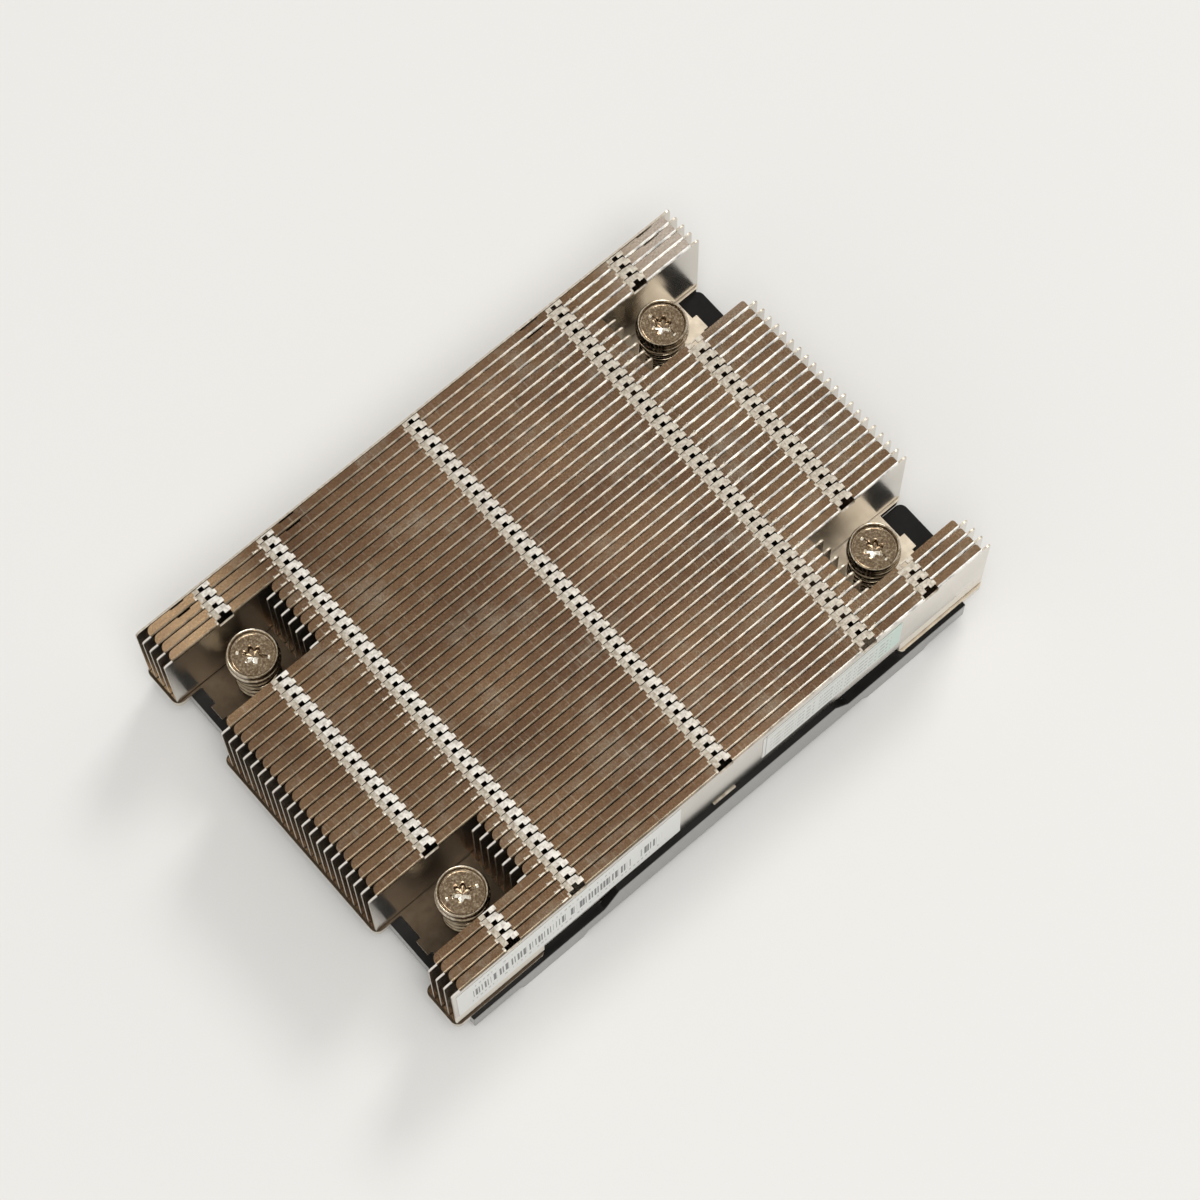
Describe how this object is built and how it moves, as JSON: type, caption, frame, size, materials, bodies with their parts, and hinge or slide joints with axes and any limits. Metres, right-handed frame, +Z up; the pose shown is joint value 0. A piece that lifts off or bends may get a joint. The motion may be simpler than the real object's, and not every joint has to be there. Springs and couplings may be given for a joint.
{
  "type": "passive server cpu heatsink",
  "caption": "Low rectangular fin-stack heatsink for a server processor, with a base plate, moulded frame and spring-loaded captive corner screws.",
  "frame": {"origin": "on the resting plane of the frame's feet, under the middle of the bounding box", "axes": "+X along the fins, which is the airflow direction, +Y across the stack, towards the plain last fin, +Z up, from the contact pad to the fin tops"},
  "size_m": [0.1226, 0.0864, 0.028],
  "materials": {
    "fin_metal": "satin",
    "plated_base": "satin",
    "pad_metal": "polished",
    "frame_plastic": "matte",
    "screw_metal": "polished",
    "spring_steel": "satin"
  },
  "bodies": {
    "heatsink": {"fin_01": "fin_metal", "fin_02": "fin_metal", "fin_03": "fin_metal", "fin_04": "fin_metal", "fin_05": "fin_metal", "fin_06": "fin_metal", "fin_07": "fin_metal", "fin_08": "fin_metal", "fin_09": "fin_metal", "fin_10": "fin_metal", "fin_11": "fin_metal", "fin_12": "fin_metal", "fin_13": "fin_metal", "fin_14": "fin_metal", "fin_15": "fin_metal", "fin_16": "fin_metal", "fin_17": "fin_metal", "fin_18": "fin_metal", "fin_19": "fin_metal", "fin_20": "fin_metal", "fin_21": "fin_metal", "fin_22": "fin_metal", "fin_23": "fin_metal", "fin_24": "fin_metal", "fin_25": "fin_metal", "fin_26": "fin_metal", "fin_27": "fin_metal", "fin_28": "fin_metal", "fin_29": "fin_metal", "fin_30": "fin_metal", "fin_31": "fin_metal", "fin_32": "fin_metal", "fin_33": "fin_metal", "fin_34": "fin_metal", "fin_35": "fin_metal", "fin_36": "fin_metal", "fin_37": "fin_metal", "fin_38": "fin_metal", "fin_39": "fin_metal", "fin_40": "fin_metal", "fin_41": "fin_metal", "fin_42": "fin_metal", "fin_43": "fin_metal", "fin_44": "fin_metal", "base_plate": "plated_base", "mounting_frame": "frame_plastic", "contact_pad": "pad_metal", "spring_1": "spring_steel", "spring_2": "spring_steel", "spring_3": "spring_steel", "spring_4": "spring_steel"},
    "clip_1": {"retaining_clip_1": "spring_steel"},
    "captive_screw_1": {"screw_1": "screw_metal"},
    "clip_2": {"retaining_clip_2": "spring_steel"},
    "captive_screw_2": {"screw_2": "screw_metal"},
    "clip_3": {"retaining_clip_3": "spring_steel"},
    "captive_screw_3": {"screw_3": "screw_metal"},
    "clip_4": {"retaining_clip_4": "spring_steel"},
    "captive_screw_4": {"screw_4": "screw_metal"}
  },
  "joints": [
    {"name": "screw_1_press", "type": "slide", "parent": "heatsink", "child": "clip_1", "axis": [0, 0, -1], "range_m": [0, 0.004], "stiffness_N_per_m": 5000, "deforming": ["spring_1"]},
    {"name": "screw_1_turn", "type": "hinge", "parent": "clip_1", "child": "captive_screw_1", "pos_m": [-0.047, -0.028, 0.0082], "axis": [0, 0, 1], "continuous": true},
    {"name": "screw_2_press", "type": "slide", "parent": "heatsink", "child": "clip_2", "axis": [0, 0, -1], "range_m": [0, 0.004], "stiffness_N_per_m": 5000, "deforming": ["spring_2"]},
    {"name": "screw_2_turn", "type": "hinge", "parent": "clip_2", "child": "captive_screw_2", "pos_m": [-0.047, 0.028, 0.0082], "axis": [0, 0, 1], "continuous": true},
    {"name": "screw_3_press", "type": "slide", "parent": "heatsink", "child": "clip_3", "axis": [0, 0, -1], "range_m": [0, 0.004], "stiffness_N_per_m": 5000, "deforming": ["spring_3"]},
    {"name": "screw_3_turn", "type": "hinge", "parent": "clip_3", "child": "captive_screw_3", "pos_m": [0.047, -0.028, 0.0082], "axis": [0, 0, 1], "continuous": true},
    {"name": "screw_4_press", "type": "slide", "parent": "heatsink", "child": "clip_4", "axis": [0, 0, -1], "range_m": [0, 0.004], "stiffness_N_per_m": 5000, "deforming": ["spring_4"]},
    {"name": "screw_4_turn", "type": "hinge", "parent": "clip_4", "child": "captive_screw_4", "pos_m": [0.047, 0.028, 0.0082], "axis": [0, 0, 1], "continuous": true}
  ]
}
